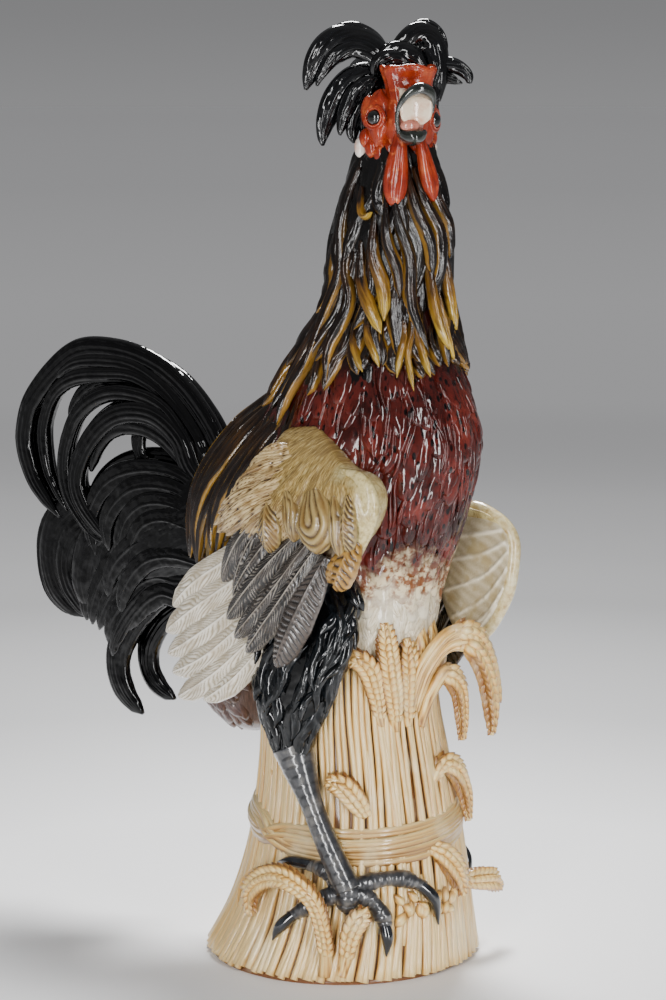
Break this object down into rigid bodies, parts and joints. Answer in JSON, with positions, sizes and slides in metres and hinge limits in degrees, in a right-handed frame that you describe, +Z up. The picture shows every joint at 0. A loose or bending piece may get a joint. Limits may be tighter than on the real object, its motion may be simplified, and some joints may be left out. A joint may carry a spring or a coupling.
{
  "type": "rooster figurine",
  "caption": "Glazed ceramic rooster with a crest and arched tail, standing on a bound sheaf of wheat that is hollow and open below.",
  "frame": {"origin": "middle of the foot rim, on the surface that the figure stands on", "axes": "+Z up; the bird faces -Y and its right side is -X"},
  "size_m": [0.2262, 0.5049, 0.754],
  "materials": {
    "sheaf_straw": "glossy cream-yellow glaze with brown in the grooves",
    "band_straw": "glossy pale straw glaze",
    "ear_straw": "glossy golden straw glaze",
    "breast": "glossy maroon glaze with black specks, cream at the belly",
    "hackle": "glossy black-brown glaze with ochre streaks and yellow tips",
    "saddle": "glossy brown and gold streaked glaze",
    "fluff": "glossy mauve-brown glaze",
    "crown_black": "glossy black glaze",
    "comb_red": "glossy orange-red glaze",
    "eye": "glossy black glaze",
    "beak": "glossy cream and pink glaze with a dark rim",
    "beak_dark": "glossy dark brown glaze",
    "crest_black": "glossy black glaze",
    "wing_cap": "glossy tan glaze with fine brown strokes",
    "wing_covert": "glossy grey-brown glaze with pale feather edges",
    "wing_flight": "glossy off-white glaze with grey and tan strokes",
    "wing_alula": "glossy orange-brown glaze",
    "thigh": "glossy black and blue-grey glaze",
    "leg": "glossy brown-black banded glaze",
    "claw": "glossy dark grey glaze",
    "tail_black": "glossy black glaze"
  },
  "bodies": {
    "root": {"foot_rim": "sheaf_straw", "sheaf_shell": "sheaf_straw", "straw_binding": "band_straw", "crown_ear_left": "ear_straw", "crown_ear_upright": "ear_straw", "crown_ear_front": "ear_straw", "crown_leaves": "ear_straw", "drooping_ear_large": "ear_straw", "drooping_ear_small": "ear_straw", "binding_ear": "ear_straw", "side_ear_upper": "ear_straw", "side_ear_lower": "ear_straw", "rear_ear": "ear_straw", "curled_ear": "ear_straw", "low_ear": "ear_straw", "loose_grains": "ear_straw", "torso_right": "breast", "torso_left": "breast", "neck": "hackle", "hackle_cape": "hackle", "rump_fluff": "fluff", "saddle_hackles_right": "saddle", "saddle_hackles_left": "saddle", "head": "crown_black", "comb": "comb_red", "face_right": "comb_red", "face_left": "comb_red", "eye_right": "eye", "eye_left": "eye", "beak_upper": "beak", "beak_lower": "beak_dark", "wattle_right": "comb_red", "wattle_left": "comb_red", "crest_right_high": "crest_black", "crest_right_low": "crest_black", "crest_middle": "crest_black", "crest_left_high": "crest_black", "crest_left_low": "crest_black", "wing_cap_right": "wing_cap", "wing_coverts_right": "wing_covert", "wing_flights_right": "wing_flight", "wing_alula_right": "wing_alula", "wing_cap_left": "wing_cap", "wing_coverts_left": "wing_covert", "wing_flights_left": "wing_flight", "thigh_right": "thigh", "thigh_left": "thigh", "shank_right": "leg", "shank_left": "leg", "foot_right": "leg", "foot_left": "leg", "claws_right": "claw", "claws_left": "claw", "tail_core": "tail_black", "sickle_outer": "tail_black", "sickle_second": "tail_black", "sickle_third": "tail_black", "tail_coverts": "tail_black", "drooping_feathers": "tail_black"}
  },
  "joints": []
}
